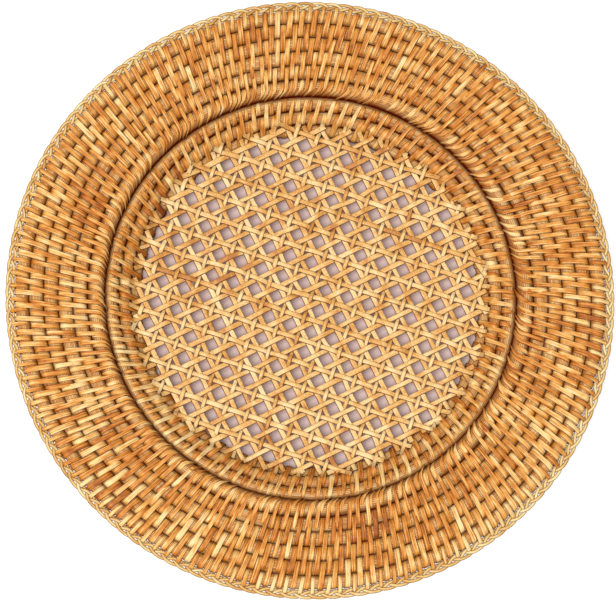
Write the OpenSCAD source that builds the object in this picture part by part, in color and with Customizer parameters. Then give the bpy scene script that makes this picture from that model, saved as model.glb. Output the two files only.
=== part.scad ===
// Woven rattan charger plate: coiled rounds bound with split strips, a braided edge
// and an open woven cane centre. The origin is the middle of the resting plane, +Z up.

/* [Plate] */
// Diameter over the braided edge
plate_d = 330; // [310:1:350]
// Rise of the rim from the lip out to the edge, in degrees
rim_rise = 4; // [1:0.5:8]

/* [Rounds] */
// Radius of the reed bundle in a round
coil_r = 3.18; // [2.9:0.01:3.5]
// Radius of the thicker reed bundle that turns over the lip
lip_r = 4; // [3.7:0.05:4.4]
// Radius of the solid hoop that the plate stands on
foot_r = 2.8; // [2.6:0.05:3]
// Height of the hoop's middle above its planed underside
foot_z = 2.35; // [2.2:0.05:2.45]
// Number of reeds that show round a bundle
reeds = 12; // [10:1:14]
// Depth of the grooves between the reeds that show
rib_depth = 0.18; // [0.1:0.01:0.2]

/* [Well wall] */
// Fall from the lip to the first wall round, in degrees
lip_fall = 23; // [18:1:28]
// Fall from the first wall round to the second, in degrees
wall_fall = 32; // [27:1:37]
// Fall from the second wall round to the foot hoop, in degrees
foot_fall = 40; // [36:1:44]

/* [Binding strips] */
// Width of a rim strip
strip_w = 2.4; // [2:0.05:2.8]
// Least space between two rim strips, which is at the lip
strip_gap = 0.12; // [0.1:0.01:0.3]
// Width of a wall strip
wall_strip_w = 2.9; // [2.4:0.05:3.3]
// Least space between two wall strips
wall_strip_gap = 0.42; // [0.3:0.01:0.8]
// Width of the narrow strip that ties the braid on
tie_w = 1.8; // [1.5:0.05:2]
// Thickness of every strip
strip_t = 0.45; // [0.35:0.01:0.55]
// Slant of the strips from the radius, in degrees
lean = 8; // [4:0.5:9]
// Least space between a strip and the round that it wraps
seat = 0.06; // [0.04:0.01:0.1]

/* [Edge braid] */
// Sideways swing of a braid strand from the braid's middle
braid_swing = 1.6; // [1.55:0.01:1.8]
// Width of a braid strand
braid_w = 1.4; // [1.2:0.01:1.45]
// Thickness of a braid strand at its middle
braid_t = 0.8; // [0.6:0.01:0.85]
// Clearance between two braid strands that cross
braid_gap = 0.24; // [0.2:0.01:0.3]

/* [Cane centre] */
// Spacing of the holes
cane_pitch = 12.2; // [11.5:0.1:13]
// Width of the strands that run across
across_w = 2.6; // [2.2:0.05:2.7]
// Width of the strands that run up
up_w = 2.2; // [1.9:0.05:2.4]
// Width of the slanting strands
slant_w = 2.6; // [2.2:0.05:2.7]
// Thickness of every cane strand
cane_t = 0.45; // [0.4:0.01:0.5]
// Clearance between two cane strands that cross
cane_gap = 0.05; // [0.04:0.01:0.1]
// Turn of the weave about the plate's middle, in degrees
cane_turn = -18.4; // [-45:0.1:45]
// Shift of the weave along its own rows
shift_across = 0.1; // [-3:0.1:3]
// Shift of the weave square to its rows
shift_up = 1; // [-3:0.1:3]

/* [Hidden] */

core_colour = "#EBC68A";
strip_colour = "#D9993F";
tie_colour = "#E6B566";
cane_colour = "#EFCB82";
braid_colour = "#F0D08C";

// Rounds of the rim outside the lip
rim_rounds = 5;
// A leaning strip's corners stand this much closer to a curved neighbour than its middle
skew = wall_strip_w / 2 * tan(lean);
// Space under a strip at its middle, and what the strip adds to its round's radius
bed = skew + seat;
wrap_t = bed + strip_t;
// Space between the backs of two strips that share a groove
strip_nip = 0.05;
// Spacing of two like rounds, of the lip and its neighbours, and of the foot hoop
coil_pitch = 2 * (coil_r + wrap_t) + strip_nip;
lip_pitch = lip_r + coil_r + 2 * wrap_t + strip_nip;
foot_pitch = foot_r + coil_r + 2 * wrap_t + strip_nip;

// A place is [radius, height]. Each round lies one pitch from the last, at its own angle.
function along(pitch, angle) = pitch * [cos(angle), sin(angle)];

// Radius of the braid's middle line
braid_r = plate_d / 2 - braid_swing - braid_w / 2;

rim_run = along(lip_pitch + (rim_rounds - 1) * coil_pitch, rim_rise);
lip_to_wall = along(lip_pitch + 2 * skew, lip_fall);
wall_to_wall = along(coil_pitch, wall_fall);
wall_to_foot = along(foot_pitch, foot_fall);
lip_at = [
    braid_r - braid_swing - braid_w / 2 - skew - strip_nip - wrap_t - coil_r - rim_run.x,
    foot_z + wall_to_foot.y + wall_to_wall.y + lip_to_wall.y];
wall_1_at = lip_at - lip_to_wall;
wall_2_at = wall_1_at - wall_to_wall;
foot_at = wall_2_at - wall_to_foot;
// Round i of the rim, counted from the braid inwards
function rim_at(i) = lip_at + along(lip_pitch + (rim_rounds - i) * coil_pitch, rim_rise);
braid_z = rim_at(1).y;

// Strips in a row of the rim: as many as fit at the lip, in threes to suit the braid
lip_inner_r = lip_at.x - lip_r - wrap_t;
braid_plies = 3;
periods = floor(PI * lip_inner_r / (strip_w + strip_gap) / braid_plies);
rim_count = braid_plies * periods;
// Strips in a row of the wall
wall_inner_r = wall_2_at.x - coil_r - wrap_t;
wall_count = floor(PI * wall_inner_r / (wall_strip_w + wall_strip_gap));
// Rows alternate, so that each strip starts between two strips of the row before
stagger_share = 0.5;

// Angle of a leaning line of strips at a radius
function line_angle(r) = -tan(lean) * ln(2 * r / plate_d) * 180 / PI;
// A place as it lies in a plane that leans about the radius mid
function leaned(at, mid) = [mid + (at.x - mid) / cos(lean), at.y];

// The end of a tie, round the corners of a braid strand at its inner swing
tie_end_r = (norm([braid_w, braid_t]) + braid_gap) / 2 - bed;
tie_end_at = [braid_r - braid_swing, braid_z];
tie_mid = (rim_at(1).x + tie_end_at.x) / 2;
tie_swing_turn = atan(tan(lean) * (tie_end_at.x - tie_mid) / tie_end_at.x);
tie_angle = line_angle(tie_mid) + stagger_share * 360 / rim_count;

reed_fn = 24;
band_fn = 32;
round_fn = 180;
// The straight runs of a belt start this far inside its circles, so that each is cut once
belt_inset = 0.002;

// Radius of the outer reeds of a bundle, which meet at the bottom of the grooves between them
function reed_radius(r) =
    let (
        groove_r = r - rib_depth,
        reach = groove_r * cos(180 / reeds))
    (groove_r ^ 2 + r ^ 2 - 2 * r * reach) / (2 * (r - reach));

// One reed bundle, revolved about the plate's axis
module reed_bundle(at, r) {
    reed_r = reed_radius(r);
    rotate_extrude($fn = round_fn)
        translate(at) {
            circle(r = r - reed_r, $fn = reed_fn);
            for (i = [0 : reeds - 1])
                rotate(i * 360 / reeds)
                    translate([r - reed_r, 0])
                        circle(r = reed_r, $fn = reed_fn);
        }
}

// The outline of a tight belt round two circles
module belt(a, a_r, b, b_r) {
    heading = atan2(b.y - a.y, b.x - a.x);
    spread = acos((a_r - b_r) / norm(b - a));
    function spot(at, r, side) =
        at + (r - belt_inset) * [cos(heading + side * spread), sin(heading + side * spread)];
    translate(a) rotate(heading) circle(r = a_r, $fn = band_fn);
    translate(b) rotate(heading + 180) circle(r = b_r, $fn = band_fn);
    polygon([spot(a, a_r, 1), spot(a, a_r, -1), spot(b, b_r, -1), spot(b, b_r, 1)]);
}

// One closed strip round two rounds, planed off level with the plate's underside
module strip_loop(a, a_r, b, b_r, w) {
    reach = 2 * (a_r + b_r + norm(b - a));
    rotate([90, 0, 0])
        linear_extrude(height = w, center = true)
            difference() {
                belt(a, a_r + wrap_t, b, b_r + wrap_t);
                belt(a, a_r + bed, b, b_r + bed);
                translate([min(a.x, b.x) - reach / 2, -reach])
                    square([reach, reach]);
            }
}

// One closed strip round a single round
module strip_ring(at, r, w) {
    rotate([90, 0, 0])
        translate(at)
            linear_extrude(height = w, center = true)
                difference() {
                    circle(r = r + wrap_t, $fn = band_fn);
                    circle(r = r + bed, $fn = band_fn);
                }
}

// A row of leaning strips about the plate, each turned at the radius mid
module row(count, mid, start_share) {
    for (i = [0 : count - 1])
        rotate(line_angle(mid) + (i + start_share) * 360 / count)
            translate([mid, 0])
                rotate(-lean)
                    translate([-mid, 0])
                        children();
}

// A row of strips that binds two neighbouring rounds
module binding_row(a, a_r, b, b_r, w, count, start_share) {
    mid = (a.x + b.x) / 2;
    row(count, mid, start_share)
        strip_loop(leaned(a, mid), a_r, leaned(b, mid), b_r, w);
}

module rim_coil(i) {
    color(core_colour) reed_bundle(rim_at(i), coil_r);
}

module lip_coil() {
    color(core_colour) reed_bundle(lip_at, lip_r);
}

module wall_coil_1() {
    color(core_colour) reed_bundle(wall_1_at, coil_r);
}

module wall_coil_2() {
    color(core_colour) reed_bundle(wall_2_at, coil_r);
}

// The solid hoop that the wall starts from, planed flat underneath
module foot_hoop() {
    color(core_colour)
        rotate_extrude($fn = round_fn)
            difference() {
                translate(foot_at) circle(r = foot_r, $fn = band_fn);
                translate([foot_at.x - foot_r, -2 * foot_r]) square(2 * foot_r);
            }
}

// The ties that bind the braid to the outermost round
module edge_ties() {
    color(tie_colour)
        row(rim_count, tie_mid, stagger_share)
            strip_loop(leaned(rim_at(1), tie_mid), coil_r, leaned(tie_end_at, tie_mid), tie_end_r, tie_w);
}

// Row i of the rim, which binds round i to the next one inwards
module rim_strips(i) {
    color(strip_colour)
        if (i < rim_rounds)
            binding_row(rim_at(i), coil_r, rim_at(i + 1), coil_r, strip_w, rim_count,
                (i + 1) % 2 * stagger_share);
        else
            binding_row(rim_at(i), coil_r, lip_at, lip_r, strip_w, rim_count,
                (i + 1) % 2 * stagger_share);
}

// The strips that wrap the lip between those of the last rim row
module lip_strips() {
    color(strip_colour)
        row(rim_count, lip_at.x, rim_rounds % 2 * stagger_share)
            strip_ring(lip_at, lip_r, strip_w);
}

module wall_strips_1() {
    color(strip_colour)
        row(wall_count, wall_1_at.x, 0)
            strip_ring(wall_1_at, coil_r, wall_strip_w);
}

module wall_strips_2() {
    color(strip_colour)
        binding_row(wall_1_at, coil_r, wall_2_at, coil_r, wall_strip_w, wall_count, stagger_share);
}

module wall_strips_3() {
    color(strip_colour)
        binding_row(wall_2_at, coil_r, foot_at, foot_r, wall_strip_w, wall_count, 0);
}

// Height of one level of the weave, and flat run past the edge of a crossing strand
cane_level = cane_t + cane_gap;
cane_ease = 0.1;
// The lowest strands clear the hoop's strips by the same clearance
cane_low_z = foot_at.y + foot_r + wrap_t + cane_gap;
cane_z = cane_low_z + 2 * cane_level + cane_t / 2;
// The strands end against the strips that slope up from the foot hoop to the wall
slope_heading = atan2(wall_to_foot.y, wall_to_foot.x);
slope_angle = slope_heading + acos((foot_r - coil_r) / foot_pitch);
slope_x = (foot_r + wrap_t - (cane_low_z - foot_at.y) * sin(slope_angle)) / cos(slope_angle);
cane_end_gap = 0.2;
cane_end_r = foot_at.x + slope_x - cane_end_gap;
cane_reach = ceil(cane_end_r / cane_pitch);
// Shortest strand that the weave holds
cane_least = 2 * cane_pitch;

// Levels of a strand: level a at every whole spacing, level b half way between
function weave(first, spacing, flat_a, level_a, flat_b, level_b) = [
    for (i = [-cane_reach - 1 : cane_reach])
        each [
            [first + i * spacing - flat_a, level_a * cane_level],
            [first + i * spacing + flat_a, level_a * cane_level],
            [first + (i + stagger_share) * spacing - flat_b, level_b * cane_level],
            [first + (i + stagger_share) * spacing + flat_b, level_b * cane_level]]];

// One flat strand at a distance off the middle, with the rises and falls of its levels
module cane_strand(off, w, levels) {
    corner_off = abs(off) + w / 2;
    half = corner_off < cane_end_r ? sqrt(cane_end_r ^ 2 - corner_off ^ 2) : 0;
    if (2 * half > cane_least) {
        line = [
            [-half, lookup(-half, levels)],
            for (p = levels) if (abs(p.x) < half) p,
            [half, lookup(half, levels)]];
        last = len(line) - 1;
        translate([0, off, cane_z])
            rotate([90, 0, 0])
                linear_extrude(height = w, center = true)
                    polygon(concat(
                        [for (p = line) p + [0, cane_t / 2]],
                        [for (i = [last : -1 : 0]) line[i] - [0, cane_t / 2]]));
    }
}

// The rows across run under the upright strands and over the slanting ones
module cane_across() {
    levels = weave(shift_across, cane_pitch,
        up_w / 2 + cane_ease, -1,
        (slant_w * sqrt(2) + across_w) / 2 + cane_ease, 1);
    color(cane_colour)
        rotate(cane_turn)
            for (i = [-cane_reach : cane_reach])
                cane_strand(i * cane_pitch + shift_up, across_w, levels);
}

// The upright strands run over the rows and under the slanting ones
module cane_up() {
    levels = weave(shift_up, cane_pitch,
        across_w / 2 + cane_ease, 0,
        (slant_w * sqrt(2) + up_w) / 2 + cane_ease, -2);
    color(cane_colour)
        rotate(cane_turn + 90)
            for (i = [-cane_reach : cane_reach])
                cane_strand(-i * cane_pitch - shift_across, up_w, levels);
}

// Slanting strands lie straight, each set at one level between the other two
module cane_slant(side, level) {
    spacing = cane_pitch / sqrt(2);
    off_shift = (shift_up - side * shift_across) / sqrt(2);
    half_reach = ceil(cane_end_r / spacing);
    flat_levels = [for (end = [-plate_d, plate_d]) [end, level * cane_level]];
    rotate(cane_turn + side * 45)
        for (i = [-half_reach : half_reach])
            cane_strand((i + stagger_share) * spacing + off_shift, slant_w, flat_levels);
}

module cane_slant_right() {
    color(cane_colour) cane_slant(1, -1);
}

module cane_slant_left() {
    color(cane_colour) cane_slant(-1, 0);
}

// Turn, swing and lift of a braid strand at the four crossings of its period
turn_share = [1 / 6, 1 / 3, 2 / 3, 5 / 6];
swing_share = [-1, 1, 1, -1];
lift_share = [-1, 1, -1, 1];
braid_steps = len(turn_share);
braid_lift = (braid_t + braid_gap) / 2;

// One strand of the three-ply flat braid: a half-round section swept round the edge
module braid_strand(ply) {
    rings = periods * braid_steps;
    period_turn = 360 / periods;
    first_turn = tie_angle - tie_swing_turn + ply * period_turn / braid_plies;
    function turn(i) = first_turn + (floor(i / braid_steps) + turn_share[i % braid_steps]) * period_turn;
    function swing(i) = braid_swing * swing_share[i % braid_steps];
    function run(i) = (turn(i + 1) - turn(i)) * PI / 180 * braid_r;
    function slope(i) = atan((swing(i + 1) - swing(i)) / run(i));
    function ring(i) =
        let (
            facing = turn(i) - (slope(i) + slope(i + rings - 1)) / 2,
            lift = braid_lift * lift_share[i % braid_steps],
            middle = [(braid_r + swing(i)) * cos(turn(i)), (braid_r + swing(i)) * sin(turn(i)), braid_z + lift],
            side = braid_w / 2 * [cos(facing), sin(facing), 0],
            up = [0, 0, braid_t / 2])
        [middle + side - up, middle + up, middle - side - up];
    corners = len(ring(0));
    points = [for (i = [0 : rings - 1]) each ring(i)];
    faces = [
        for (i = [0 : rings - 1], k = [0 : corners - 1])
            let (
                here = i * corners,
                there = (i + 1) % rings * corners,
                next = (k + 1) % corners)
            each [[here + k, here + next, there + next], [here + k, there + next, there + k]]];
    color(braid_colour) polyhedron(points, faces);
}

rim_coil(1);  // rim_coil_1
rim_coil(2);  // rim_coil_2
rim_coil(3);  // rim_coil_3
rim_coil(4);  // rim_coil_4
rim_coil(5);  // rim_coil_5
lip_coil();
wall_coil_1();
wall_coil_2();
foot_hoop();
edge_ties();
rim_strips(1);  // rim_strips_1
rim_strips(2);  // rim_strips_2
rim_strips(3);  // rim_strips_3
rim_strips(4);  // rim_strips_4
rim_strips(5);  // rim_strips_5
lip_strips();
wall_strips_1();
wall_strips_2();
wall_strips_3();
cane_across();
cane_up();
cane_slant_right();
cane_slant_left();
braid_strand(0);  // braid_strand_1
braid_strand(1);  // braid_strand_2
braid_strand(2);  // braid_strand_3
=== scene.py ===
# %% [markdown]
# # A woven rattan charger plate
# A charger is the wide flat plate that a dinner plate stands on. This one is basketry: closed
# rounds of reeds are bound to each other with split strips, a cane mesh fills the middle, and a
# small plait finishes the edge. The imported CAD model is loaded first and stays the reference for
# every size here.

# %% Load the frame
import math
import random

import bmesh
import bpy
from mathutils import Matrix, Vector


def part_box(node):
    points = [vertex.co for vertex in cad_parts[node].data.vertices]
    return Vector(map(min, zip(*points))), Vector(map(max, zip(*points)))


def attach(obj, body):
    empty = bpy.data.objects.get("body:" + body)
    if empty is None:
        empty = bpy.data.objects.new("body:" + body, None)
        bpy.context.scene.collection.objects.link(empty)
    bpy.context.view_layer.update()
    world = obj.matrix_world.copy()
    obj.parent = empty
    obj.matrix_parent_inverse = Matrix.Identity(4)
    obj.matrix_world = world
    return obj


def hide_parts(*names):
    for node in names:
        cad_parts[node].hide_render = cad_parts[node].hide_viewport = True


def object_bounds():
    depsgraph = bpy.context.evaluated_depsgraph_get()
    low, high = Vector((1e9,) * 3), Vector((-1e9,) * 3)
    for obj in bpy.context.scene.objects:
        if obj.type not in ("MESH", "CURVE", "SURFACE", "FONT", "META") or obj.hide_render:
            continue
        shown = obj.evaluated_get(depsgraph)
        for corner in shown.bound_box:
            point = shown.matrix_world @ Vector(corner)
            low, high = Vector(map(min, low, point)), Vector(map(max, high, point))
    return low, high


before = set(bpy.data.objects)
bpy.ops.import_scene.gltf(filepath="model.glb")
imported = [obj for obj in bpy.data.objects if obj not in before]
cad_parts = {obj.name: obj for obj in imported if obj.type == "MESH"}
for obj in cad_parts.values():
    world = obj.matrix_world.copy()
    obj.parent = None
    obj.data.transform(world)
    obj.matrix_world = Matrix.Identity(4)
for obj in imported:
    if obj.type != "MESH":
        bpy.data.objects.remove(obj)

MM = 0.001
cad_box = [list(corner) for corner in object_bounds()]
random.seed(11)
print("CAD box in mm:", [[round(c / MM, 1) for c in corner] for corner in cad_box])

# %% [markdown]
# ## Places of the rounds
# Each round is a ring of reeds. Its place could be typed in, but it is read off the box of its CAD
# node, so nothing has to be fitted: half the box's height is the bundle's radius, and the ring's
# own radius is what is left. The foot hoop is planed flat underneath, which hides its bundle's
# radius, so that one is given.

# %% Read the rounds
RIM_ROUNDS = 5
# Radius of the foot hoop's bundle of reeds, before it is planed
FOOT_R = 2.8 * MM
NODE_OF = {f"rim_{i}": f"rim_coil_{i}" for i in range(1, RIM_ROUNDS + 1)}
NODE_OF.update(lip="lip_coil", wall_1="wall_coil_1", wall_2="wall_coil_2", foot="foot_hoop")


def round_at(node):
    """Radius of the ring, height of its middle and radius of its bundle."""
    low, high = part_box(node)
    bundle = (high.z - low.z) / 2
    return high.x - bundle, (high.z + low.z) / 2, bundle


ROUNDS = {name: round_at(node) for name, node in NODE_OF.items()}
foot_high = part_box(NODE_OF["foot"])[1]
ROUNDS["foot"] = (foot_high.x - FOOT_R, foot_high.z - FOOT_R, FOOT_R)
for name, (ring, height, bundle) in ROUNDS.items():
    print(f"{name}: ring {ring / MM:.1f}, height {height / MM:.1f}, bundle {bundle / MM:.2f} mm")

# %% Plate and strips
PLATE_R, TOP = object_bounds()[1].x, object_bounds()[1].z
# Strips in a row of the rim and in one of the wall
RIM_STITCHES = 138
WALL_STITCHES = 92
# Gap between a round and the strips that bind it, and thickness of a strip
BED = 0.22 * MM
STRIP_T = 0.48 * MM
print(f"plate radius {PLATE_R / MM:.1f}, top {TOP / MM:.1f} mm")

# %% [markdown]
# ## Bending
# A strip is first made flat, as if the plate were unrolled: x is the distance from the plate's
# axis, y runs along the round and z is up. Bending it then turns y into an angle. A Simple Deform
# modifier could do that, but it couldn't make the strips lean. They do because the weaver's hand
# moves on with every turn, so the angle also grows with the distance travelled inwards, which
# draws the same slanting line at every radius.

# %% Bending helpers
# A curled strip leans further and further, over about this length
CURL_LENGTH = 3 * MM


def clamped(x):
    return min(max(x, 0.0), 1.0)


def eased(x):
    """Smooth step from 0 to 1."""
    x = clamped(x)
    return x * x * (3 - 2 * x)


def leaned_turn(radius, lean):
    """How far a line that leans by some degrees has turned on its way in from the edge."""
    return -math.tan(math.radians(lean)) * math.log(radius / PLATE_R)


def bend(verts, turn, lean, stretch=1.0, anchor=None, bow=0.0, curl=None):
    """Bends flat points round the plate's axis.

    stretch widens them, anchor is the radius that the lean starts from, bow moves the middle of the
    strip to one side, and curl is (radius, degrees): inside that radius the strip leans further.
    """
    start = leaned_turn(anchor, lean) if anchor else 0.0
    near, far = min(v.co.x for v in verts), max(v.co.x for v in verts)
    for v in verts:
        radius = v.co.x
        off_middle = (2 * radius - near - far) / (far - near)
        along = v.co.y * stretch + bow * (1 - off_middle ** 2)
        angle = turn + leaned_turn(radius, lean) - start + along / radius
        if curl and radius < curl[0]:
            aside = math.tan(math.radians(curl[1])) * (curl[0] - radius) ** 2 / CURL_LENGTH
            angle += aside / radius
        v.co = Vector((radius * math.cos(angle), radius * math.sin(angle), v.co.z))

# %% [markdown]
# ## Finishing a piece
# Every piece ends the same way: its normals are turned outwards, its faces shaded smooth with only
# the sharp edges kept, and three calls say what carries it, which finish it has and which CAD
# nodes it stands for.

# %% Finishing helper
def new_piece(name, bm, material, nodes, sharp=50.0):
    """Turns a bmesh into a finished piece that rides on the plate and stands for its CAD nodes."""
    bmesh.ops.recalc_face_normals(bm, faces=bm.faces)
    mesh = bpy.data.meshes.new(name)
    bm.to_mesh(mesh)
    bm.free()
    mesh.polygons.foreach_set("use_smooth", [True] * len(mesh.polygons))
    mesh.set_sharp_from_angle(angle=math.radians(sharp))
    mesh.materials.append(material)
    piece = bpy.data.objects.new(name, mesh)
    bpy.context.scene.collection.objects.link(piece)
    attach(piece, "root")
    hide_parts(*nodes)
    print(f"{name}: {len(mesh.polygons)} faces")
    return piece

# %% [markdown]
# ## Sweeping a section along a path
# Strips, cane and plait are all the same kind of form: a small section carried along a path. A
# curve with a bevel could draw it, but couldn't say how the section is turned, how wide it is and
# how much painted shade it has at each step. So one operator makes a flat grid, with a column of
# cells for each side of the section and a row for each step of the path. Its vertices are then
# moved to their places, so that the grid wraps round the section as paper wraps a parcel, and the
# doubled vertices along the seam are merged. The grid also gives each face its place on the strip
# in millimetres, which the fibres of the material follow. Two values go with each vertex: groove,
# the painted shade for how deep it lies in the dark, and tone, for how pale the strip is there.

# %% Sweep helpers
# Vertices closer than this are one
MERGE_WITHIN = 1e-7


def sweep(bm, section, stops, closed, tone_at=None):
    """Carries a section of (across, lift, dark) points along a path.

    A stop of the path is (point, sideways, outwards, groove, width share), and tone_at gives the
    tone at a stop. A strip that is going to be copied has no tone_at: each copy gets its own tone.
    """
    # The section's third value and the stop's groove value are painted shade
    groove_shade_layer = bm.verts.layers.float.get("groove") or bm.verts.layers.float.new("groove")
    tone_layer = bm.verts.layers.float.get("tone") or bm.verts.layers.float.new("tone")
    uv_layer = bm.loops.layers.uv.get("Strip") or bm.loops.layers.uv.new("Strip")
    steps = len(stops) if closed else len(stops) - 1
    sides = len(section)
    along = [0.0]
    for a, b in zip(stops, stops[1:] + stops[:1]):
        along.append(along[-1] + (b[0] - a[0]).length / MM)
    made = bmesh.ops.create_grid(bm, x_segments=steps, y_segments=sides, size=1.0)["verts"]
    for v in made:
        i, k = round((v.co.x + 1) / 2 * steps), round((v.co.y + 1) / 2 * sides)
        point, side, out, groove, share = stops[i % len(stops)]
        across, lift, section_shade = section[k % sides]
        for loop in v.link_loops:
            loop[uv_layer].uv = (along[i], across / MM)
        v.co = point + side * across * share + out * lift
        v[groove_shade_layer] = max(groove, section_shade)
        v[tone_layer] = tone_at(i % len(stops)) if tone_at else 0.5
    bmesh.ops.remove_doubles(bm, verts=made, dist=MERGE_WITHIN)


def close_ends(bm):
    """Closes the open ends of swept strands."""
    bmesh.ops.holes_fill(bm, edges=[edge for edge in bm.edges if edge.is_boundary], sides=0)

# %% [markdown]
# ## Colours and nodes
# A colour is written as the sRGB hex value that a colour picker shows. Blender's sockets want
# linear light, so one function turns the one into the other. Another adds a node, sets its values
# and links its inputs, so that a material reads as a list of what it does.

# %% Colour and node helpers
def srgb(hex_value):
    channels = [int(hex_value[i:i + 2], 16) / 255 for i in (1, 3, 5)]
    linear = [c / 12.92 if c <= 0.04045 else ((c + 0.055) / 1.055) ** 2.4 for c in channels]
    return (*linear, 1.0)


def add_node(tree, kind, settings=None, inputs=None):
    """Adds one node, sets its properties and fills or links its inputs."""
    node = tree.nodes.new(kind)
    for key, value in (settings or {}).items():
        setattr(node, key, value)
    for key, value in (inputs or {}).items():
        if isinstance(value, bpy.types.NodeSocket):
            tree.links.new(value, node.inputs[key])
        else:
            node.inputs[key].default_value = value
    return node

# %% [markdown]
# ## Rattan
# Rattan peel is the hard outer skin of a climbing palm's stem, split into strips; cane is the same
# skin cut finer, and the reeds in the rounds are the softer core. All of it is straw to amber, and
# every strip has its own tone. Long fibres give it fine streaks, a knot now and then leaves a
# stain, and a thin lacquer gives it a soft gloss. The grooves between the rounds are painted dark
# as shade, mixed with lacquer that gathers there. The Wave texture could draw the fibres, but it
# repeats. Noise that is stretched along each strip doesn't.

# %% Rattan material
# A streak of fibres is this long. How wide it is, each finish says
FIBRE_LONG_MM = 14
# The middle part of the noise, where its values lie, is spread over the whole of a streak's range
FIBRE_LOW, FIBRE_HIGH = 0.36, 0.64
# Moves the fibres on by the tone, so that no two strips match
FIBRE_SHIFT = 97.0
# Relief of the fibres
FIBRE_RELIEF = 0.12 * MM
# Size of the stains, and the middle part of their noise
STAIN_LONG = 7 * MM
STAIN_LOW, STAIN_HIGH = 0.3, 0.7
# Gloss on a crown. It fades to none where the painted groove shade is full
GLOSS = 0.3


def rattan(name, tones, groove_shade_hex, streak_mm, rough=0.5, lacquer=0.06, streaks=0.4, stain=0.4):
    """A finish whose colours run over a list of tones.

    streak_mm is the width of a streak of fibres. streaks and stain say how far each moves the tone.
    """
    material = bpy.data.materials.new(name)
    material.use_nodes = True
    tree = material.node_tree
    tree.nodes.clear()
    uv = add_node(tree, "ShaderNodeUVMap", {"uv_map": "Strip"})
    place = add_node(tree, "ShaderNodeTexCoord")
    tone = add_node(tree, "ShaderNodeAttribute", {"attribute_name": "tone"})
    groove = add_node(tree, "ShaderNodeAttribute", {"attribute_name": "groove"})

    # Fibres, drawn out along the strip
    shift = add_node(tree, "ShaderNodeMath", {"operation": "MULTIPLY"},
                     {0: tone.outputs["Fac"], 1: FIBRE_SHIFT})
    stretched = add_node(tree, "ShaderNodeMapping", None,
                         {"Vector": uv.outputs["UV"],
                          "Scale": (1 / FIBRE_LONG_MM, 1 / streak_mm, 1.0)})
    apart = add_node(tree, "ShaderNodeCombineXYZ", None,
                     {"Z": shift.outputs[0], "X": shift.outputs[0]})
    fibre_at = add_node(tree, "ShaderNodeVectorMath", {"operation": "ADD"},
                        {0: stretched.outputs[0], 1: apart.outputs[0]})
    fibre = add_node(tree, "ShaderNodeTexNoise", None,
                     {"Vector": fibre_at.outputs[0], "Scale": 1.0, "Detail": 3.0,
                      "Roughness": 0.62})
    # Stains, where the skin was darker
    cloud = add_node(tree, "ShaderNodeTexNoise", None,
                     {"Vector": place.outputs["Object"], "Scale": 1 / STAIN_LONG, "Detail": 2.0,
                      "Roughness": 0.55})

    # Tone of this spot: the strip's own, plus fibres and stains
    fibre_part = add_node(tree, "ShaderNodeMapRange", None,
                          {"Value": fibre.outputs["Fac"], "From Min": FIBRE_LOW,
                           "From Max": FIBRE_HIGH, "To Min": -streaks / 2, "To Max": streaks / 2})
    stain_part = add_node(tree, "ShaderNodeMapRange", None,
                          {"Value": cloud.outputs["Fac"], "From Min": STAIN_LOW,
                           "From Max": STAIN_HIGH, "To Min": -stain / 2, "To Max": stain / 2})
    with_fibre = add_node(tree, "ShaderNodeMath", {"operation": "ADD"},
                          {0: tone.outputs["Fac"], 1: fibre_part.outputs[0]})
    with_stain = add_node(tree, "ShaderNodeMath", {"operation": "ADD", "use_clamp": True},
                          {0: with_fibre.outputs[0], 1: stain_part.outputs[0]})
    ramp = add_node(tree, "ShaderNodeValToRGB", None, {"Fac": with_stain.outputs[0]})
    for index, (spot, hex_value) in enumerate(tones):
        elements = ramp.color_ramp.elements
        stop = elements[index] if index < 2 else elements.new(spot)
        stop.position = spot
        stop.color = srgb(hex_value)

    # Painted shade, with some lacquer gathered dark, darkens what dives into a groove and leaves it
    # matt
    colour = add_node(tree, "ShaderNodeMix", {"data_type": "RGBA", "blend_type": "MIX"},
                      {"Factor": groove.outputs["Fac"], "A": ramp.outputs["Color"],
                       "B": srgb(groove_shade_hex)})
    ridge = add_node(tree, "ShaderNodeBump", None,
                     {"Height": fibre.outputs["Fac"], "Strength": 0.5, "Distance": FIBRE_RELIEF})
    gloss = add_node(tree, "ShaderNodeMapRange", None,
                     {"Value": groove.outputs["Fac"], "To Min": GLOSS, "To Max": 0.0})
    coat = add_node(tree, "ShaderNodeMapRange", None,
                    {"Value": groove.outputs["Fac"], "To Min": lacquer, "To Max": 0.0})
    skin = add_node(tree, "ShaderNodeBsdfPrincipled", None,
                    {"Base Color": colour.outputs["Result"], "Normal": ridge.outputs[0],
                     "Roughness": rough, "IOR": 1.5, "Specular IOR Level": gloss.outputs[0],
                     "Coat Weight": coat.outputs[0], "Coat Roughness": 0.3})
    add_node(tree, "ShaderNodeOutputMaterial", None, {"Surface": skin.outputs[0]})
    return material


# %% [markdown]
# ## The five finishes
# Each finish runs from the brown of a stained strip, at tone 0, to the straw of a pale one, at
# tone 1. A new colour ramp has a first and a last stop, so a list of tones names those two first.

# %% Finishes
PEEL_TONES = [(0.0, "#8E4810"), (1.0, "#FBD998"), (0.22, "#BD6B18"), (0.48, "#D88A34"),
              (0.74, "#EAAE58")]
CANE_TONES = [(0.0, "#AE6A2C"), (1.0, "#F3D298"), (0.3, "#CE8E44"), (0.55, "#E0AA5C"),
              (0.8, "#EABF7E")]
CORE_TONES = [(0.0, "#9A5218"), (1.0, "#F4CE90"), (0.35, "#CF8E48"), (0.7, "#E4AD6A")]
PLAIT_TONES = [(0.0, "#A86A2C"), (1.0, "#FBE2A8"), (0.3, "#D2994E"), (0.6, "#E5B76C"),
               (0.8, "#F0CC88")]
# The hex after the tones of each finish is the colour of its painted shade in grooves, hollows and
# on edges
# Peel is the hard skin: amber, with a few long pale and brown streaks in each strip
peel = rattan("Lacquered rattan peel", PEEL_TONES, "#541000", 0.7, streaks=0.68)
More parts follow.
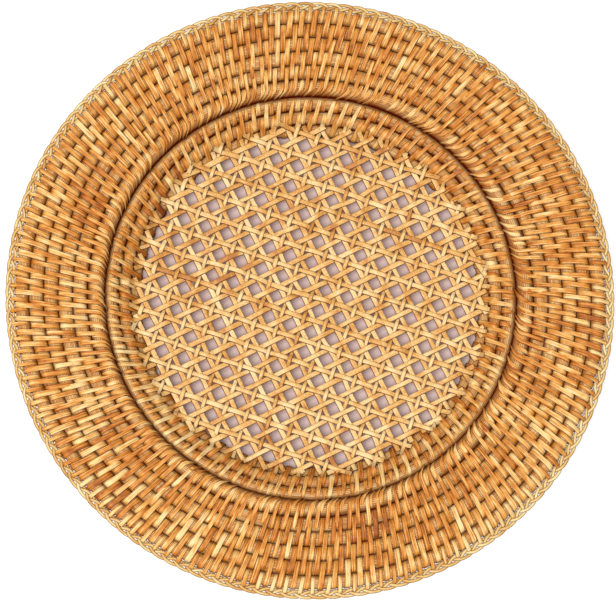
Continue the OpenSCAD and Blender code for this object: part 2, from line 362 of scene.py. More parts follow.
# The ties are split from the same skin, but finer
tie_peel = rattan("Fine rattan peel of the ties", PEEL_TONES, "#5E1A00", 0.7, streaks=0.6)
# Core has no skin: paler, duller and more even than the peel
core_reed = rattan("Rattan core reeds", CORE_TONES, "#541200", 0.3, rough=0.6, lacquer=0.03,
                   streaks=0.3, stain=0.3)
# Cane is the palest skin, straw to butter, with painted shade along its cut edges
cane = rattan("Split cane", CANE_TONES, "#4E1A00", 0.55, rough=0.45, streaks=0.6, stain=0.55)
# Round reeds of the plait, straw, with fine fibres
plait_reed = rattan("Fine reed of the plait", PLAIT_TONES, "#4A1C04", 0.3, lacquer=0.05)
print("finishes:", ", ".join(m.name for m in (peel, tie_peel, core_reed, cane, plait_reed)))

# %% [markdown]
# ## Tones from strip to strip
# A weaver's strip lasts a dozen turns or so, and then the next one is joined in. So the tone
# changes a little from stitch to stitch and jumps where a new strip starts. A random tone for
# every stitch would be simpler, but it looks like confetti.

# %% Tone helper
# Fewest and most stitches that a strip lasts
STRIP_LASTS = (4, 16)
# Within a strip the tone varies less than from strip to strip, by this share
WITHIN_STRIP = 0.4
# Tones of the odd stitch that stands out
ODD_TONES = (0.26, 0.34, 0.86, 0.92)


def tone_walk(count, middle, spread, odd_share=0.05):
    tones = []
    while len(tones) < count:
        base = random.gauss(middle, spread)
        for _ in range(random.randint(*STRIP_LASTS)):
            tone = random.gauss(base, spread * WITHIN_STRIP)
            if random.random() < odd_share:
                tone = random.choice(ODD_TONES)
            tones.append(clamped(tone))
    return tones[:count]

# %% [markdown]
# ## The rounds
# The body of each round is a bundle of fine reeds, which shows between the strips as pale ribs.
# The reeds could be laid one by one, but only their outer sides show. So the section is a circle
# with a lobe for each reed, spun once round the plate's axis. Binding presses the bundles
# together: the circle is a little squared, and it reaches as far as its neighbours, so that no
# light comes through between them. What faces sideways, into the groove to the next round, is
# painted dark as shade, and so is the hollow between two reeds.

# %% Round helpers
REEDS = 24
POINTS_PER_REED = 3
SPIN_STEPS = 184
# Exponent of a squared circle: 2 would be a true one
SQUARE = 2.6
# Depth of the hollow between two reeds, as a share of the bundle's radius, and the painted shade in
# it
HOLLOW = 0.05
HOLLOW_SHADE = 0.75
# Exponent of a reed's lobe: 1 would be a sine wave, and less is fuller
LOBE_SHAPE = 0.6
# Exponent of the part that reaches for a neighbour: higher is narrower. It goes past touching a bit
REACH_SHAPE = 5
OVERLAP = 0.02 * MM
# How soon painted shade darkens a round off its crown: the lower, the sooner
ROUND_SHADE_FALL = {"lip": 0.7, "wall_1": 0.6, "wall_2": 0.9}
OTHER_SHADE_FALL = 1.4
# Strength of the painted shade in a round's grooves
ROUND_SHADE_DEEPEST = 1.2


def squared(turn):
    """Reach of a slightly squared circle of radius 1."""
    return (abs(math.cos(turn)) ** SQUARE + abs(math.sin(turn)) ** SQUARE) ** (-1 / SQUARE)


def painted_groove_shade(facing, deepest_shade=1.15, fall=1.7):
    """Painted groove shade from how far a surface faces up or down: 0 on a crown, 1 in a groove."""
    return min(1.0, deepest_shade * (1 - min(abs(facing), 1.0)) ** fall)


def heading_to(a, b):
    """Direction from one round to another, seen in section."""
    return math.atan2(b[1] - a[1], b[0] - a[0])


def same_turn(turn, other):
    """The direction turn, counted so that it lies within half a turn of the other one."""
    return turn + math.tau * round((other - turn) / math.tau)


def unroll(bm, ring, height, bundle):
    """Gives a spun round its place in millimetres, along the round and round its section."""
    uv_layer = bm.loops.layers.uv.new("Strip")
    for face in bm.faces:
        middle = face.calc_center_median()
        face_spot = math.atan2(middle.z - height, math.hypot(middle.x, middle.y) - ring) % math.tau
        face_turn = math.atan2(middle.y, middle.x)
        for loop in face.loops:
            co = loop.vert.co
            turn = same_turn(math.atan2(co.y, co.x), face_turn)
            spot = math.atan2(co.z - height, math.hypot(co.x, co.y) - ring) % math.tau
            loop[uv_layer].uv = (turn * ring / MM, same_turn(spot, face_spot) * bundle / MM)


def reed_round(name, neighbours):
    """One round: its lobed section, pulled towards its neighbours, spun round the axis."""
    ring, height, bundle = at = ROUNDS[name]
    fall = ROUND_SHADE_FALL.get(name, OTHER_SHADE_FALL)
    # Direction of each neighbour, and by what share the round has to grow there to touch it
    pulls = []
    for other in neighbours:
        b = ROUNDS[other]
        apart = math.hypot(b[0] - ring, b[1] - height)
        touching = (apart + bundle - b[2]) / 2 + OVERLAP
        pulls.append((heading_to(at, b), touching / bundle - 1))
    bm = bmesh.new()
    tone_layer = bm.verts.layers.float.new("tone")
    groove_shade_layer = bm.verts.layers.float.new("groove")
    tones = [clamped(random.gauss(0.6, 0.16)) for _ in range(REEDS + 1)]
    for v in bmesh.ops.create_circle(bm, segments=REEDS * POINTS_PER_REED, radius=1.0)["verts"]:
        angle = math.atan2(v.co.y, v.co.x)
        lobe = abs(math.sin(angle * REEDS / 2)) ** LOBE_SHAPE
        touch = [max(math.cos(angle - turn), 0) ** REACH_SHAPE for turn, _ in pulls]
        size = bundle * (1 - HOLLOW * (1 - lobe) * (1 - max(touch)))
        size *= squared(angle - pulls[-1][0])
        size *= 1 + sum(share * near for near, (_, share) in zip(touch, pulls))
        # Painted shade in the hollow between two reeds and on what faces into the grooves
        hollow_shade = HOLLOW_SHADE * (1 - lobe)
        v[groove_shade_layer] = max(painted_groove_shade(math.sin(angle), ROUND_SHADE_DEEPEST, fall), hollow_shade)
        v[tone_layer] = tones[int(angle % math.tau / math.tau * REEDS)]
        v.co = Vector((ring + size * math.cos(angle), 0, height + size * math.sin(angle)))
        if name == "foot":
            # Planed flat, as the plate stands on it
            v.co.z = max(v.co.z, 0.0)
    bmesh.ops.spin(bm, geom=bm.edges[:], cent=(0, 0, 0), axis=(0, 0, 1), angle=math.tau,
                   steps=SPIN_STEPS, use_merge=True)
    unroll(bm, ring, height, bundle)
    return new_piece(name + "_round", bm, core_reed, [NODE_OF[name]], sharp=80)

# %% Build the rounds
order = list(NODE_OF)
for i, name in enumerate(order):
    reed_round(name, [order[k] for k in (i - 1, i + 1) if 0 <= k < len(order)])

# %% [markdown]
# ## The binding strips
# Each strip is a closed turn round two neighbouring rounds, like a belt on two pulleys, and it
# sags a little where it bridges the groove between them. The real strip runs on from stitch to
# stitch as a long spiral, but only single turns show, and those can be copied. So one strip is
# made flat, copied for each stitch of its row, and each copy is bent into place with a slightly
# different lean, width and tone, as hand work has. A strip is also painted darker, as shade,
# where it dives into a groove.

# %% Paths of the strips
# Sag of a strip where it bridges a groove
DIP = 0.12 * MM
# Stops round a bend, as shares of it: closer together towards the top, where they show
BEND_SHARES = (0.0, 0.4, 0.58, 0.74, 0.87, 1.0)
RING_STOPS = 12


def strip_circle(name):
    """Circle that the strips of a round are bent round, in section: place and radius."""
    ring, height, bundle = ROUNDS[name]
    return ring, height, bundle + BED


def stop_on(circle, turn, heading):
    """Point of a circle that is squared along heading, with its outward direction."""
    out = Vector((math.cos(turn), 0, math.sin(turn)))
    middle = Vector((circle[0], 0, circle[1]))
    return middle + out * circle[2] * squared(turn - heading), out


def belt_stops(a, b):
    """Stops of a belt round circle a and the circle b inside it."""
    gap = Vector((b[0] - a[0], b[1] - a[1]))
    heading = math.atan2(gap.y, gap.x)
    spread = math.acos((a[2] - b[2]) / gap.length)
    a_turns = [heading + spread + share * (math.tau - 2 * spread) for share in BEND_SHARES]
    b_turns = [heading - spread + (1 - share) * 2 * spread for share in reversed(BEND_SHARES)]
    found = [stop_on(a, turn, heading) for turn in a_turns]
    found += [stop_on(b, turn, heading) for turn in b_turns]
    bridge = len(a_turns)
    mid_out = (found[bridge - 1][1] + found[bridge][1]).normalized()
    mid_point = (found[bridge - 1][0] + found[bridge][0]) / 2 - mid_out * DIP
    found.insert(bridge, (mid_point, mid_out))
    return found


def ring_stops(a, heading):
    """Stops of a strip round one circle only, from its lowest point on."""
    return [stop_on(a, -math.pi / 2 + k * math.tau / RING_STOPS, heading)
            for k in range(RING_STOPS)]

# %% [markdown]
# ## One flat strip
# Peel is split flat on the inside and keeps a little of the stem's roundness outside. Its section
# has a dome and two cut edges, which are painted dark as shade. A strip may be narrower at one end,
# pinched in the middle by the weaver's pull, or run to a point where it goes down into the lip's
# groove.

# %% Flat strip helpers
# Width of the sloping edge of a strip, and the painted shade on it
EDGE_W = 0.28 * MM
EDGE_SHADE = 0.95
# Height of the dome above that edge, and the painted shade there
SHOULDER_HIGH = 0.86
SHOULDER_SHADE = 0.1
# Groove value that a strip gains from its outer to its inner end
INNER_DARK = 0.22
# Half length of the pinched part, and the place where a tip is narrowest, as shares of the strip
WAIST_LONG = 0.16
TIP_TO = 0.97


def domed(width, thick):
    """Section of a split strip: flat below and slightly domed above."""
    half, shoulder = width / 2, width / 2 - EDGE_W
    return [(-half, 0.0, EDGE_SHADE), (-shoulder, thick * SHOULDER_HIGH, SHOULDER_SHADE),
            (0.0, thick, 0.0), (shoulder, thick * SHOULDER_HIGH, SHOULDER_SHADE),
            (half, 0.0, EDGE_SHADE)]


def flat_strip(name, stops, width, thick, narrow=1.0, waist=0.0, falls=(1.7, 1.7), tip=1.0,
               tip_from=0.76):
    """A strip made flat, as a mesh that can be copied.

    narrow is the width share of its outer end and waist how much its middle is pinched. The pair
    after waist says how soon painted shade darkens it as it dives into the grooves on its outer and
    inner side: the lower, the sooner. tip is the width share of its inner end, which narrows from
    tip_from on.
    """
    near, far = min(point.x for point, _ in stops), max(point.x for point, _ in stops)
    full = []
    for point, out in stops:
        inner = (far - point.x) / (far - near)
        share = narrow + (1 - narrow) * inner
        share *= 1 - waist * math.exp(-((inner - 0.5) / WAIST_LONG) ** 2)
        share *= 1 - (1 - tip) * eased((inner - tip_from) / (TIP_TO - tip_from))
        fall = falls[0] + (falls[1] - falls[0]) * inner
        groove = max(painted_groove_shade(out.z, fall=fall), INNER_DARK * inner)
        full.append((point, Vector((0, 1, 0)), out, groove, share))
    bm = bmesh.new()
    sweep(bm, domed(width, thick), full, closed=True)
    bmesh.ops.recalc_face_normals(bm, faces=bm.faces)
    mesh = bpy.data.meshes.new(name)
    bm.to_mesh(mesh)
    bm.free()
    print(f"{name}: {len(mesh.polygons)} faces")
    return mesh

# %% [markdown]
# ## One row of strips
# An Array modifier could repeat the strip, but every copy would be the same. Here each copy is
# moved, turned and bent on its own, by small random amounts.

# %% Row helper
# How much strips of a row differ: in place (in stitches), width (as a share) and bow (in mm)
TURN_SPREAD = 0.03
WIDTH_SPREAD = 0.06
BOW_SPREAD_MM = 0.16
CALM_DRIFT = 0.1 * MM


def lay_row(strip, count, start, lean, tones, anchor=None, lean_spread=1.2, curl=None,
            drift=CALM_DRIFT):
    """Copies a flat strip for each stitch of a row and bends each copy into place.

    start is where the row begins, in stitches, and drift how far strips lie in or out of line.
    """
    bm = bmesh.new()
    made = 0
    for k in range(count):
        bm.from_mesh(strip)
        bm.verts.ensure_lookup_table()
        verts = bm.verts[made:]
        tone_layer = bm.verts.layers.float["tone"]
        shift = Vector((random.gauss(0, drift), 0, random.gauss(0, drift) / 2))
        for v in verts:
            v[tone_layer] = tones[k]
            v.co += shift
            v.co.z = min(max(v.co.z, 0.0), TOP)
        turn = (k + start + random.gauss(0, TURN_SPREAD)) * math.tau / count
        bend(verts, turn, random.gauss(lean, lean_spread), random.gauss(1.0, WIDTH_SPREAD), anchor,
             random.gauss(0, BOW_SPREAD_MM) * MM, curl)
        made = len(bm.verts)
    bpy.data.meshes.remove(strip)
    return bm

# %% [markdown]
# ## Rim rows
# Five rows bind the rim's rounds and the lip. The rows are laid like bricks: every other one
# starts half a stitch on. Where two rows share a groove, the strips of one go between those of the
# other, and together they hide most of it. The last row runs over the lip, curls to the side and
# ends there in a point.

# %% Bind the rim
LEAN = 8.5
WAIST = 0.1
# Width of a strip, as a share of a stitch on the inner round of its row
RIM_STRIP_SHARE = 0.48
# Radius that the strips curl from, and by how many degrees
LIP_CURL = (ROUNDS["lip"][0] - 1 * MM, 32)
LAST_LOOK = {"falls": (1.7, 0.8), "tip": 0.45}
for i in range(1, RIM_ROUNDS + 1):
    last = i == RIM_ROUNDS
    inner_name = "lip" if last else f"rim_{i + 1}"
    stitch = math.tau * ROUNDS[inner_name][0] / RIM_STITCHES
    strip = flat_strip(f"rim_strip_{i}",
                       belt_stops(strip_circle(f"rim_{i}"), strip_circle(inner_name)),
                       RIM_STRIP_SHARE * stitch, STRIP_T, waist=WAIST,
                       **(LAST_LOOK if last else {"falls": (1.7, 1.5)}))
    bm = lay_row(strip, RIM_STITCHES, (i + 1) % 2 * 0.5, LEAN, tone_walk(RIM_STITCHES, 0.55, 0.14),
                 curl=LIP_CURL if last else None, drift=0.5 * MM if last else CALM_DRIFT)
    new_piece(f"rim_row_{i}", bm, peel, [f"rim_strips_{i}"])

# %% [markdown]
# ## Lip
# The lip is the thickest round, where the rim turns down into the well. A second set of strips
# wraps it alone, between those of the last rim row. They slant more and lie less evenly, and they
# are wide, so that the crest is closed, but run to a point in the groove below it.

# %% Bind the lip
LIP_STRIP_W = 3.4 * MM
LIP_LEAN = 12
lip, wall_1, wall_2, foot = (ROUNDS[name] for name in ("lip", "wall_1", "wall_2", "foot"))
strip = flat_strip("lip_strip", ring_stops(strip_circle("lip"), heading_to(lip, wall_1)),
                   LIP_STRIP_W, STRIP_T, narrow=0.58, falls=(1.7, 0.8), tip=0.45, tip_from=0.6)
bm = lay_row(strip, RIM_STITCHES, RIM_ROUNDS % 2 * 0.5, LIP_LEAN,
             tone_walk(RIM_STITCHES, 0.66, 0.14), anchor=lip[0] + 2 * MM, lean_spread=2.5,
             curl=LIP_CURL, drift=0.6 * MM)
new_piece("lip_row", bm, peel, ["lip_strips"])

# %% [markdown]
# ## Wall
# Below the lip the wall has fewer and wider strips, in three rows: one round the upper round
# alone, one over both rounds, and one from the lower round to the foot hoop. The upper ends lie in
# the shade of the lip, so they narrow and darken soon.

# %% Bind the wall
WALL_STRIP_W = 3.2 * MM
WALL_LEAN = 13
wall_circle_1, wall_circle_2, foot_circle = map(strip_circle, ("wall_1", "wall_2", "foot"))
strip = flat_strip("wall_strip_1", ring_stops(wall_circle_1, heading_to(wall_1, wall_2)),
                   WALL_STRIP_W, STRIP_T, narrow=0.45, falls=(0.55, 1.2))
bm = lay_row(strip, WALL_STITCHES, 0, WALL_LEAN, tone_walk(WALL_STITCHES, 0.5, 0.1),
             anchor=wall_1[0], drift=0.45 * MM)
new_piece("wall_row_1", bm, peel, ["wall_strips_1"])

strip = flat_strip("wall_strip_2", belt_stops(wall_circle_1, wall_circle_2),
                   WALL_STRIP_W, STRIP_T, narrow=0.65, waist=WAIST, falls=(0.7, 1.2))
bm = lay_row(strip, WALL_STITCHES, 0.5, WALL_LEAN, tone_walk(WALL_STITCHES, 0.62, 0.14),
             anchor=(wall_1[0] + wall_2[0]) / 2)
new_piece("wall_row_2", bm, peel, ["wall_strips_2"])

strip = flat_strip("wall_strip_3", belt_stops(wall_circle_2, foot_circle),
                   WALL_STRIP_W, STRIP_T, falls=(1.0, 1.2))
bm = lay_row(strip, WALL_STITCHES, 0, WALL_LEAN, tone_walk(WALL_STITCHES, 0.46, 0.13),
             anchor=(wall_2[0] + foot[0]) / 2)
new_piece("wall_row_3", bm, peel, ["wall_strips_3"])

# %% [markdown]
# ## Cane centre
# The mesh is the four-way cane weave of chair seats, left open. Rows run across and others up,
# like a grid, and two sets of slanting strands cross them corner to corner. The uprights pass over
# the rows, the rows over the slants and the slants over the uprights, and the slants go over and
# under each other in turn, so the weave locks itself. A picture of it on a sheet would be quicker,
# but the holes and their shadows have to be real. Each strand's height is worked out from where it
# is in the pattern.

# %% Size and heights of the weave
PITCH = 12.2 * MM
WEAVE_TURN = math.radians(-18.4)
# The weave isn't centred on the plate
SHIFT_ACROSS = 0.1 * MM
SHIFT_UP = 1.0 * MM
CANE_T = 0.45 * MM
# Height of one level of the weave, above and below its middle
LEVEL = 0.5 * MM
CANE_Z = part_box("cane_slant_left")[1].z - CANE_T / 2
END_R = wall_2[0] - wall_2[2] - 0.15 * MM
print(f"cane middle {CANE_Z / MM:.2f} mm, ends at {END_R / MM:.1f} mm")


def level_at(x, spacing, flat_a, level_a, flat_b, level_b):
    """Level of a strand: level_a at whole spacings, level_b half way between, eased in between.

    flat_a and flat_b are how far it stays flat there.
    """
    off = abs((x / spacing + 0.5) % 1.0 - 0.5) * spacing
    share = eased((off - flat_a) / (spacing / 2 - flat_b - flat_a))
    return level_a + (level_b - level_a) * share


def over_under(x, spacing, first_over):
    """Wave between 1 and -1 that changes sign from one crossing to the next, flat at each."""
    wave = 1.3 * math.cos(math.pi * x / spacing)
    return max(-1.0, min(1.0, wave)) * (1 if first_over else -1)

# %% [markdown]
# ## Where the cane meets the wall
# The ends of the strands lie on the strips that slope up from the foot hoop to the wall. That
# slope is the line which touches both rounds, as a belt on two pulleys does.

# %% Slope helper
wrap = BED + STRIP_T
gap = Vector((wall_2[0] - foot[0], wall_2[1] - foot[1]))
slope_turn = math.atan2(gap.y, gap.x) + math.acos((foot[2] - wall_2[2]) / gap.length)
slope_at = Vector((foot[0] + (foot[2] + wrap) * math.cos(slope_turn),
                   foot[1] + (foot[2] + wrap) * math.sin(slope_turn)))
slope_rise = -1 / math.tan(slope_turn)
print(f"slope touches the foot hoop's strips at {slope_at.x / MM:.1f} mm, rises {slope_rise:.2f}")


def on_slope(radius):
    """Height of the sloping strips between the foot hoop and the wall at a radius."""
    return slope_at.y + (radius - slope_at.x) * slope_rise

# %% [markdown]
# ## One cane strand
# Cane is cut narrower than the binding strips and lies flat. One edge has a broad painted shade,
# the other a fine one. No strand is quite straight or even in tone, and some have a stain. Near
# its end a strand lifts softly off its level onto the slope, without a kink.

# %% Strand helpers
# A strand sways to the side by about so much, in waves of such a length
SWAY_MM = 0.25
SWAY_LONG_MM = (30, 60)
# Spread of a strand's ends
END_SPREAD_MM = 0.5
# Stops closer than this to an end are left out, and a strand of fewer stops isn't laid
STOPS_APART = 0.5 * MM
FEWEST_STOPS = 6
# Clearance of the lowest strand to the slope, and what each level adds to it
SLOPE_CLEAR = 0.25 * MM
SLOPE_LEVEL_MM = 0.12
# Height and reach of the soft bend onto the slope
SOFT_LIFT = 0.15 * MM
SOFT_REACH = 0.6 * MM
# The ends lie in the shade of the wall, and low strands in that of the others
END_SHADE = 0.35
LOW_SHADE = 0.06
# The tone wanders in waves of such a length. A stain takes one of these off it, over such a length
WANDER_LONG_MM = (15, 30)
STAINS = (0.0, 0.0, 0.2, 0.45)
STAIN_REACH = 10 * MM


def split_cane(width, thick):
    """Section of a cane strand, with broad painted shade on one edge, fine on the other and a
    little below.
    """
    half = width / 2
    return [(-half, 0.0, 1.0), (0.12 * MM - half, thick * 0.5, 1.0),
            (0.48 * MM - half, thick * 0.88, 0.12), (0.0, thick, 0.0),
            (half - 0.3 * MM, thick * 0.88, 0.08), (half, 0.0, 0.85),
            (half - 0.4 * MM, 0.0, 0.15), (0.4 * MM - half, 0.0, 0.15)]


def strand_stops(points, side, levels):
    """Turns the points of a strand's middle line into stops, with its shade."""
    stops = []
    for k, p in enumerate(points):
        forward = (points[min(k + 1, len(points) - 1)] - points[max(k - 1, 0)]).normalized()
        out = forward.cross(side).normalized()
        out = -out if out.z < 0 else out
        shade = END_SHADE * eased((p.xy.length - END_R + 3 * MM) / (4 * MM))
        shade += max(0, -LOW_SHADE * levels[k])
        stops.append((p - out * CANE_T / 2, side, out, shade, 1.0))
    return stops


def cane_strand(bm, off, width, turn, level, xs, tone, short):
    """Adds one strand that runs along turn, off to the side of the plate's middle."""
    phase = random.uniform(0, math.tau)
    sway_long = random.uniform(*SWAY_LONG_MM) * MM
    sway = random.gauss(0, SWAY_MM) * MM
    ends = []
    for _ in range(2):
        reach = END_R - short + random.gauss(0, END_SPREAD_MM) * MM
        ends.append(math.sqrt(max(reach ** 2 - off ** 2, 0)))
    inside = [x for x in xs if min(x + ends[0], ends[1] - x) > STOPS_APART]
    spots = [-ends[0], *inside, ends[1]]
    if len(spots) < FEWEST_STOPS:
        return
    levels = [level(x) for x in spots]
    along = Vector((math.cos(turn), math.sin(turn), 0))
    side = Vector((-math.sin(turn), math.cos(turn), 0))
    points = []
    for x, height in zip(spots, levels):
        p = along * x + side * (off + sway * math.sin(phase + x / sway_long * math.tau))
        z = CANE_Z + height * LEVEL
        rest = on_slope(p.length) + CANE_T / 2 + SLOPE_CLEAR + (height + 2) * SLOPE_LEVEL_MM * MM
        p.z = max(z, rest) + SOFT_LIFT * math.exp(-((z - rest) / SOFT_REACH) ** 2)
        points.append(p)
    stain_at, stained = random.uniform(-END_R, END_R), random.choice(STAINS)
    wander_long = random.uniform(*WANDER_LONG_MM) * MM

    def tone_at(i):
        wander = 0.1 * math.sin(phase + spots[i] / wander_long * math.tau)
        patch = stained * math.exp(-((spots[i] - stain_at) / STAIN_REACH) ** 2)
        return clamped(tone + wander - patch)

    sweep(bm, split_cane(width, CANE_T), strand_stops(points, side, levels), closed=False,
          tone_at=tone_at)


def weave(name, node, turn, spacing, first, offset, width, level, xs, middle_tone, short=0.0):
    """Lays one family of strands. level gives a strand's height from its place and its number."""
    bm = bmesh.new()
    reach = int(END_R / spacing) + 2
    for i in range(-reach, reach + 1):
        off = (i + first) * spacing + offset
        if abs(off) < END_R - 3 * MM:
            tone = min(max(random.gauss(middle_tone, 0.13), 0.05), 1.0)
            cane_strand(bm, off, width * random.gauss(1, 0.06), turn, lambda x: level(x, i), xs,
                        tone, short)
    close_ends(bm)
    return new_piece(name, bm, cane, [node])

# %% Weave the rows and the uprights
ROW_W, UP_W = 2.75 * MM, 2.3 * MM
# Stops of a strand, as shares of the pitch: closer together where it rises and falls
PITCH_SHARES = (0.0, 0.1, 0.16, 0.21, 0.26, 0.36, 0.5, 0.64, 0.74, 0.79, 0.84, 0.9)
# How far a strand stays flat under or over a slant
FLAT_AT_SLANT = 2.9 * MM


def spots_along(first):
    """Places of a strand's stops, so that every crossing has the same ones."""
    reach = int(END_R / PITCH) + 2
    return [first + (i + share) * PITCH for i in range(-reach, reach + 1) for share in PITCH_SHARES]


weave("cane_rows", "cane_across", WEAVE_TURN, PITCH, 0, SHIFT_UP, ROW_W,
      lambda x, i: level_at(x - SHIFT_ACROSS, PITCH, 0.9 * MM, -1, FLAT_AT_SLANT, 1),
      spots_along(SHIFT_ACROSS), 0.66)
weave("cane_uprights", "cane_up", WEAVE_TURN + math.pi / 2, PITCH, 0, -SHIFT_ACROSS, UP_W,
      lambda x, i: level_at(x - SHIFT_UP, PITCH, 1.2 * MM, 0.1, FLAT_AT_SLANT, -2),
      spots_along(SHIFT_UP), 0.72)

# %% Weave the slants
SLANT_W = 2.95 * MM
# The slants end before the others do
SLANT_SHORT = 1.6 * MM
slant_spacing = PITCH / math.sqrt(2)
right_off = (SHIFT_UP - SHIFT_ACROSS) / math.sqrt(2)
left_off = (SHIFT_UP + SHIFT_ACROSS) / math.sqrt(2)
slant_spots = [k * slant_spacing / 5 for k in range(-60, 61)]


def right_level(x, i):
    return -0.5 + 0.5 * over_under(x - slant_spacing / 2 - left_off, slant_spacing, i % 2 == 0)


def left_level(x, i):
    return -0.5 - 0.5 * over_under(-x - slant_spacing / 2 - right_off, slant_spacing, i % 2 == 0)


weave("cane_slants_right", "cane_slant_right", WEAVE_TURN + math.pi / 4, slant_spacing, 0.5,
      right_off, SLANT_W, right_level, slant_spots, 0.6, short=SLANT_SHORT)
weave("cane_slants_left", "cane_slant_left", WEAVE_TURN - math.pi / 4, slant_spacing, 0.5,
      left_off, SLANT_W, left_level, slant_spots, 0.64, short=SLANT_SHORT)

# %% [markdown]
# ## Plaited edge
# Three fine reeds make a flat plait round the rim. Each one swings from side to side and passes
# over one neighbour and under the next, which is two rises and two falls for every swing. One
# formula gives a reed's place at every step, and the three are the same line, moved on by a third
# of a swing.

# %% Plait the edge
PLAIT_W, PLAIT_T = 1.85 * MM, 0.85 * MM
PLAIT_SWING = 1.6 * MM
PLAIT_R = PLATE_R - PLAIT_SWING - PLAIT_W / 2
PLAIT_Z = ROUNDS["rim_1"][1]
PLAIT_PERIODS = RIM_STITCHES // 3
PLAIT_STEPS = 14
PLAIT_SIDES = 8
# The reed stays out at the end of a swing: 0 would be a plain wave
PLAIT_LINGER = 0.4
# Rise of a reed at a crossing, as a share of its thickness
PLAIT_LIFT = 0.56
# Steps that share a tone
PLAIT_TONE_STEPS = 9
tie_inner = PLAIT_R - PLAIT_SWING


def plait_point(turn_share, phase, first):
    """Middle of a reed of the plait, at a share of the whole turn. phase is in swings."""
    s = turn_share * PLAIT_PERIODS - phase
    wave = -math.cos(math.tau * s)
    swing = PLAIT_SWING * wave * (1 + PLAIT_LINGER - PLAIT_LINGER * wave * wave)
    lift = -math.sin(2 * math.tau * s) * PLAIT_LIFT * PLAIT_T
    angle = first + turn_share * math.tau
    radius = PLAIT_R + swing
    return Vector((radius * math.cos(angle), radius * math.sin(angle), PLAIT_Z + lift))


first = leaned_turn(tie_inner, LEAN) + 0.5 * math.tau / RIM_STITCHES
oval = []
for k in range(PLAIT_SIDES):
    across, lift = math.cos(k * math.tau / PLAIT_SIDES), math.sin(k * math.tau / PLAIT_SIDES)
    # Painted shade on each reed's section: darkest at its two sides, none on top and below
    section_shade = 1.0 if abs(lift) < 0.1 else 0.8 * math.sqrt(1 - abs(lift))
    oval.append((PLAIT_W / 2 * across, PLAIT_T / 2 * lift, section_shade))
total = PLAIT_PERIODS * PLAIT_STEPS
for ply in range(3):
    points = [plait_point(k / total, ply / 3, first) for k in range(total)]
    stops = []
    for k, p in enumerate(points):
        forward = (points[(k + 1) % total] - points[k - 1]).normalized()
        side = Vector((0, 0, 1)).cross(forward).normalized()
        stops.append((p, side, forward.cross(side).normalized(), 0.0, 1.0))
    tones = tone_walk(total, 0.7, 0.14, odd_share=0)
    bm = bmesh.new()
    sweep(bm, oval, stops, closed=True, tone_at=lambda i: tones[i // PLAIT_TONE_STEPS])
    new_piece(f"plait_{ply + 1}", bm, plait_reed, [f"braid_strand_{ply + 1}"],
              sharp=80)

# %% [markdown]
# ## Ties
# A narrow strip passes over the outermost round between two rim strips, goes down through the
# plait and comes back underneath, once for each opening of the plait. It is the same belt as a rim
# strip, with the plait's inner side for its outer pulley.

# %% Tie the plait on
TIE_R = 1.0 * MM
TIE_W, TIE_T = 2.3 * MM, 0.45 * MM
stops = belt_stops((tie_inner, PLAIT_Z, TIE_R), strip_circle("rim_1"))
strip = flat_strip("tie", stops, TIE_W, TIE_T)
bm = lay_row(strip, RIM_STITCHES, 0.5, LEAN, tone_walk(RIM_STITCHES, 0.74, 0.12), lean_spread=2.5)
new_piece("ties", bm, tie_peel, ["edge_ties"])

# %% [markdown]
# ## Floor and world
# The plate lies on paper. In the photo it is pure white round the plate and a shaded grey pink in
# the holes of the mesh. More light would burn out the rattan, so the paper keeps its shade and
# glows by itself, only for rays that the camera sees and only outside the mesh, where the glow
# rises with the distance from the plate's middle. The world is white for the camera too, and
# dimmer as a light.

# %% Floor and world
# Strength of the world as a light
FILL = 0.4
# Strength of the glow, and where it starts and is full
PAPER_GLOW = 0.66
GLOW_FROM, GLOW_FULL = 0.105, 0.15
FLOOR_HALF = 3.0
# The floor lies this far below the plate, so that the two never share a plane
FLOOR_DROP = 0.05 * MM


def seen_by_camera(tree, low, high):
    """A value that is high for rays that the camera sees directly, in a gloss or through glass."""
    path = add_node(tree, "ShaderNodeLightPath")
    seen = add_node(tree, "ShaderNodeMath", {"operation": "MAXIMUM"},
                    {0: path.outputs["Is Camera Ray"], 1: path.outputs["Is Glossy Ray"]})
    seen = add_node(tree, "ShaderNodeMath", {"operation": "MAXIMUM"},
                    {0: seen.outputs[0], 1: path.outputs["Is Transmission Ray"]})
    return add_node(tree, "ShaderNodeMapRange", None,
                    {"Value": seen.outputs[0], "To Min": low, "To Max": high}).outputs[0]


floor_material = bpy.data.materials.new("White paper")
floor_material.use_nodes = True
tree = floor_material.node_tree
paper = tree.nodes["Principled BSDF"]
# The paper's own colour is a grey pink, which paints shade and the rattan's warm bounce into the
# holes of the mesh. Outside the mesh the glow makes it white
paper.inputs["Base Color"].default_value = srgb("#D6BEB8")
paper.inputs["Roughness"].default_value = 0.9
paper.inputs["Specular IOR Level"].default_value = 0.0
# The glow is painted light, tinted cyan white so that the pink of the paper's shade outside the
# mesh sums to a neutral white
paper.inputs["Emission Color"].default_value = srgb("#E8FCFF")
place = add_node(tree, "ShaderNodeTexCoord")
distance = add_node(tree, "ShaderNodeVectorMath", {"operation": "LENGTH"},
                    {0: place.outputs["Object"]})
outside = add_node(tree, "ShaderNodeMapRange", None,
                   {"Value": distance.outputs["Value"], "From Min": GLOW_FROM,
                    "From Max": GLOW_FULL, "To Max": PAPER_GLOW})
glow = add_node(tree, "ShaderNodeMath", {"operation": "MULTIPLY"},
                {0: seen_by_camera(tree, 0.0, 1.0), 1: outside.outputs[0]})
tree.links.new(glow.outputs[0], paper.inputs["Emission Strength"])

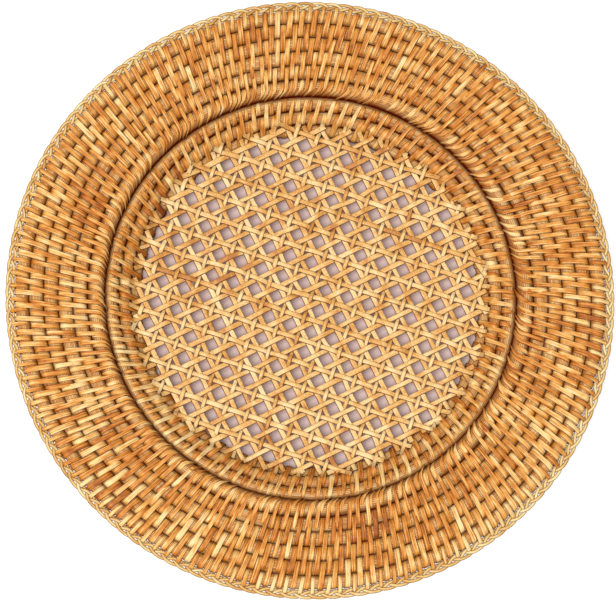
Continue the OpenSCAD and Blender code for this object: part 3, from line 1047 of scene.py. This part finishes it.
bm = bmesh.new()
bmesh.ops.create_grid(bm, x_segments=1, y_segments=1, size=FLOOR_HALF)
bmesh.ops.translate(bm, verts=bm.verts, vec=(0, 0, -FLOOR_DROP))
mesh = bpy.data.meshes.new("floor")
bm.to_mesh(mesh)
bm.free()
mesh.materials.append(floor_material)
floor = bpy.data.objects.new("floor", mesh)
bpy.context.scene.collection.objects.link(floor)

world = bpy.data.worlds.new("Studio")
bpy.context.scene.world = world
world.use_nodes = True
background = world.node_tree.nodes["Background"]
background.inputs["Color"].default_value = (1, 1, 1, 1)
world.node_tree.links.new(seen_by_camera(world.node_tree, FILL, 1.0),
                          background.inputs["Strength"])
print(f"paper glows from {GLOW_FROM / MM:.0f} mm on, full at {GLOW_FULL / MM:.0f} mm")

# %% [markdown]
# ## Lamp and camera
# One broad lamp stands far off at the lower left. Its size gives soft shadows, and its distance
# the same light on the whole plate. The camera looks down from a little below the middle, which is
# why the photographed rim is not quite round, and its lens is set so that the plate fills as much
# of the frame as in the photo.

# %% Lamp and camera
lamp = bpy.data.lights.new("Key", "AREA")
lamp.shape = "DISK"
lamp.size = 5.2
lamp.energy = 436
key = bpy.data.objects.new("Key", lamp)
bpy.context.scene.collection.objects.link(key)
key.location = (-1.7, -1.5, 5.8)
key.rotation_euler = (Vector((0, 0, 0)) - key.location).to_track_quat("-Z", "Y").to_euler()

CAMERA_AWAY = 1.6
SENSOR_MM = 36
# The frame is this much wider than the plate in it
FRAME_SHARE = 616 / 610
camera_data = bpy.data.cameras.new("Camera")
camera = bpy.data.objects.new("Camera", camera_data)
bpy.context.scene.collection.objects.link(camera)
bpy.context.scene.camera = camera
back = Vector((-0.055, -0.2, 0.979)).normalized()
target = Vector((-0.0019, -0.0029, 0.017))
camera.location = target + back * CAMERA_AWAY
right = Vector((0, 1, 0)).cross(back).normalized()
camera.rotation_euler = Matrix((right, back.cross(right), back)).transposed().to_euler()
camera_data.sensor_width = SENSOR_MM
camera_data.lens = SENSOR_MM * CAMERA_AWAY / (FRAME_SHARE * 2 * PLATE_R)
bpy.context.scene.view_settings.view_transform = "Standard"
print(f"camera {CAMERA_AWAY} m off, lens {camera_data.lens:.0f} mm")
